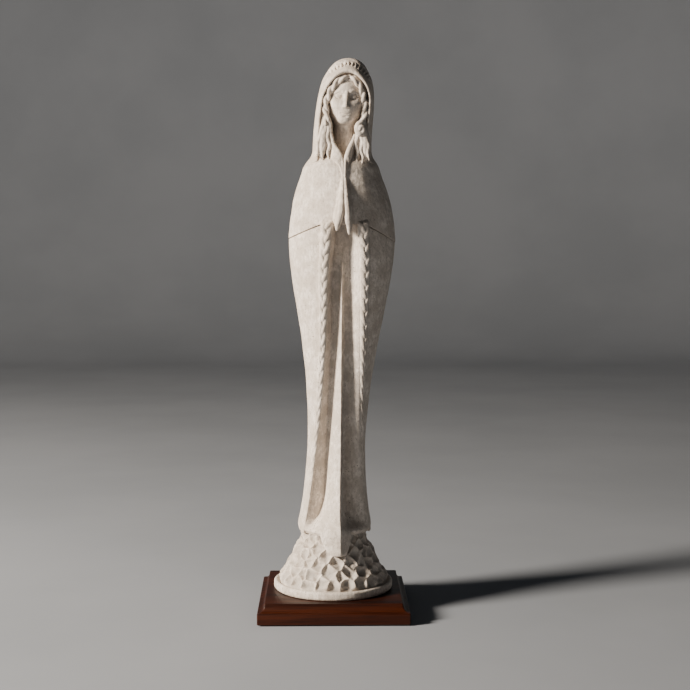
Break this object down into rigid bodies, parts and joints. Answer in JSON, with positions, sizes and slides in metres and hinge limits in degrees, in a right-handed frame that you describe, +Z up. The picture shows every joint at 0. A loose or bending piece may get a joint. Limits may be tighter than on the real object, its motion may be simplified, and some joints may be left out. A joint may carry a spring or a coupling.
{
  "type": "praying madonna statue",
  "caption": "Slender veiled praying figure in speckled pale stoneware, standing on a cobbled round mound that is screwed to a square moulded dark wood base.",
  "frame": {"origin": "middle of the underside of the square base", "axes": "+Z up the figure, -Y the way it faces, +X to the viewer's right"},
  "size_m": [0.113, 0.113, 0.4205],
  "materials": {
    "stoneware": "matte, finely speckled",
    "stained_wood": "dark red-brown stain under satin lacquer",
    "felt": "matte felt",
    "plaster": "matte cast plaster",
    "zinc_steel": "zinc plated"
  },
  "bodies": {
    "root": {"base_felt": "felt", "wood_base": "stained_wood", "plinth_ring": "stoneware", "rock_mound": "stoneware", "plaster_fill": "plaster", "threaded_rod": "zinc_steel", "anchor_nut": "zinc_steel", "clamp_washer": "zinc_steel", "clamp_nut": "zinc_steel", "robe": "stoneware", "mantle": "stoneware", "mantle_braid_left": "stoneware", "mantle_braid_right": "stoneware", "cape": "stoneware", "collar_left": "stoneware", "collar_right": "stoneware", "hand_left": "stoneware", "hand_right": "stoneware", "head": "stoneware", "hair_left": "stoneware", "hair_right": "stoneware", "veil": "stoneware", "veil_braid": "stoneware"}
  },
  "joints": []
}
